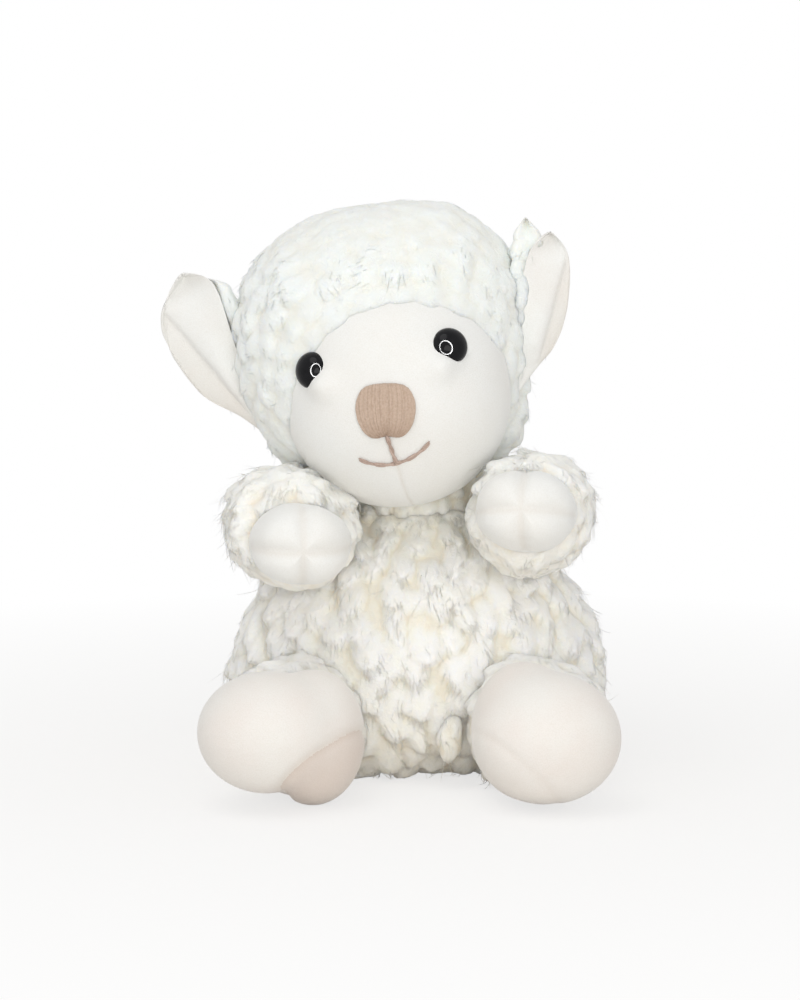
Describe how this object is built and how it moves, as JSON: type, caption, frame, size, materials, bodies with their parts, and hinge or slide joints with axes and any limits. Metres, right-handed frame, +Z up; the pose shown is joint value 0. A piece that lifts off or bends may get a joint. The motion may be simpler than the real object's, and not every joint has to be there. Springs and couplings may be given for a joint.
{
  "type": "plush sheep",
  "caption": "Sitting stuffed toy sheep with a curly fleece body, smooth face, paws and feet, button eyes and stitched nose and mouth, whose head, ears, arms, legs and tail bend.",
  "frame": {"origin": "middle of the flat seat that the body rests on", "axes": "+Z up, the sheep faces -Y, its own left side is at +X"},
  "size_m": [0.15, 0.1715, 0.19],
  "materials": {
    "cream_fleece": "curly pile",
    "cream_velboa": "short pile",
    "stuffing": "loose fibre",
    "black_gloss": "polished",
    "white_plastic": "satin",
    "tan_thread": "satin stitch",
    "brown_thread": "stitched thread"
  },
  "bodies": {
    "torso": {"body_cover": "cream_fleece", "body_stuffing": "stuffing"},
    "neck": {"neck_stuffing": "stuffing"},
    "head": {"head_hood": "cream_fleece", "face_panel": "cream_velboa", "head_stuffing": "stuffing", "eye_left": "black_gloss", "eye_right": "black_gloss", "eye_washer_left": "white_plastic", "eye_washer_right": "white_plastic", "nose_stitching": "tan_thread", "mouth_stitching": "brown_thread"},
    "tail": {"tail": "cream_fleece"},
    "ear_left": {"ear_lining_left": "cream_velboa", "ear_back_left": "cream_fleece"},
    "arm_left": {"arm_sleeve_left": "cream_fleece", "paw_left": "cream_velboa", "arm_stuffing_left": "stuffing"},
    "leg_left": {"leg_sleeve_left": "cream_fleece", "foot_upper_left": "cream_velboa", "foot_sole_left": "cream_velboa", "leg_stuffing_left": "stuffing"},
    "ear_right": {"ear_lining_right": "cream_velboa", "ear_back_right": "cream_fleece"},
    "arm_right": {"arm_sleeve_right": "cream_fleece", "paw_right": "cream_velboa", "arm_stuffing_right": "stuffing"},
    "leg_right": {"leg_sleeve_right": "cream_fleece", "foot_upper_right": "cream_velboa", "foot_sole_right": "cream_velboa", "leg_stuffing_right": "stuffing"}
  },
  "joints": [
    {"name": "neck_turn", "type": "hinge", "parent": "torso", "child": "neck", "pos_m": [0, 0, 0.09], "axis": [0, 0, 1], "range_deg": [-15, 15], "stiffness_Nm_per_rad": 0.5},
    {"name": "head_nod", "type": "hinge", "parent": "neck", "child": "head", "pos_m": [0, 0, 0.09], "axis": [1, 0, 0], "range_deg": [-5, 6], "stiffness_Nm_per_rad": 0.8},
    {"name": "ear_left_bend", "type": "hinge", "parent": "head", "child": "ear_left", "pos_m": [0.03456, -0.01645, 0.13269], "axis": [0.1114, 0.9936, 0.0202], "range_deg": [0, 45], "stiffness_Nm_per_rad": 0.03},
    {"name": "ear_right_bend", "type": "hinge", "parent": "head", "child": "ear_right", "pos_m": [-0.0518, -0.00645, 0.117], "axis": [0.1114, 0.9936, 0.0202], "range_deg": [-45, 0], "stiffness_Nm_per_rad": 0.03},
    {"name": "shoulder_left", "type": "hinge", "parent": "torso", "child": "arm_left", "pos_m": [0.04069, -0.01644, 0.0825], "axis": [0, 0, 1], "range_deg": [-6, 45], "stiffness_Nm_per_rad": 0.05},
    {"name": "shoulder_right", "type": "hinge", "parent": "torso", "child": "arm_right", "pos_m": [-0.04065, -0.01642, 0.0825], "axis": [0, 0, 1], "range_deg": [-45, 6], "stiffness_Nm_per_rad": 0.05},
    {"name": "hip_left", "type": "hinge", "parent": "torso", "child": "leg_left", "pos_m": [0.03863, -0.04444, 0.0215], "axis": [1, 0, 0], "range_deg": [-20, 2], "stiffness_Nm_per_rad": 0.15},
    {"name": "hip_right", "type": "hinge", "parent": "torso", "child": "leg_right", "pos_m": [-0.03863, -0.04444, 0.0215], "axis": [1, 0, 0], "range_deg": [-20, 2], "stiffness_Nm_per_rad": 0.15},
    {"name": "tail_wag", "type": "hinge", "parent": "torso", "child": "tail", "pos_m": [0, 0.04992, 0.026], "axis": [0, 0, 1], "range_deg": [-15, 15], "stiffness_Nm_per_rad": 0.01}
  ]
}
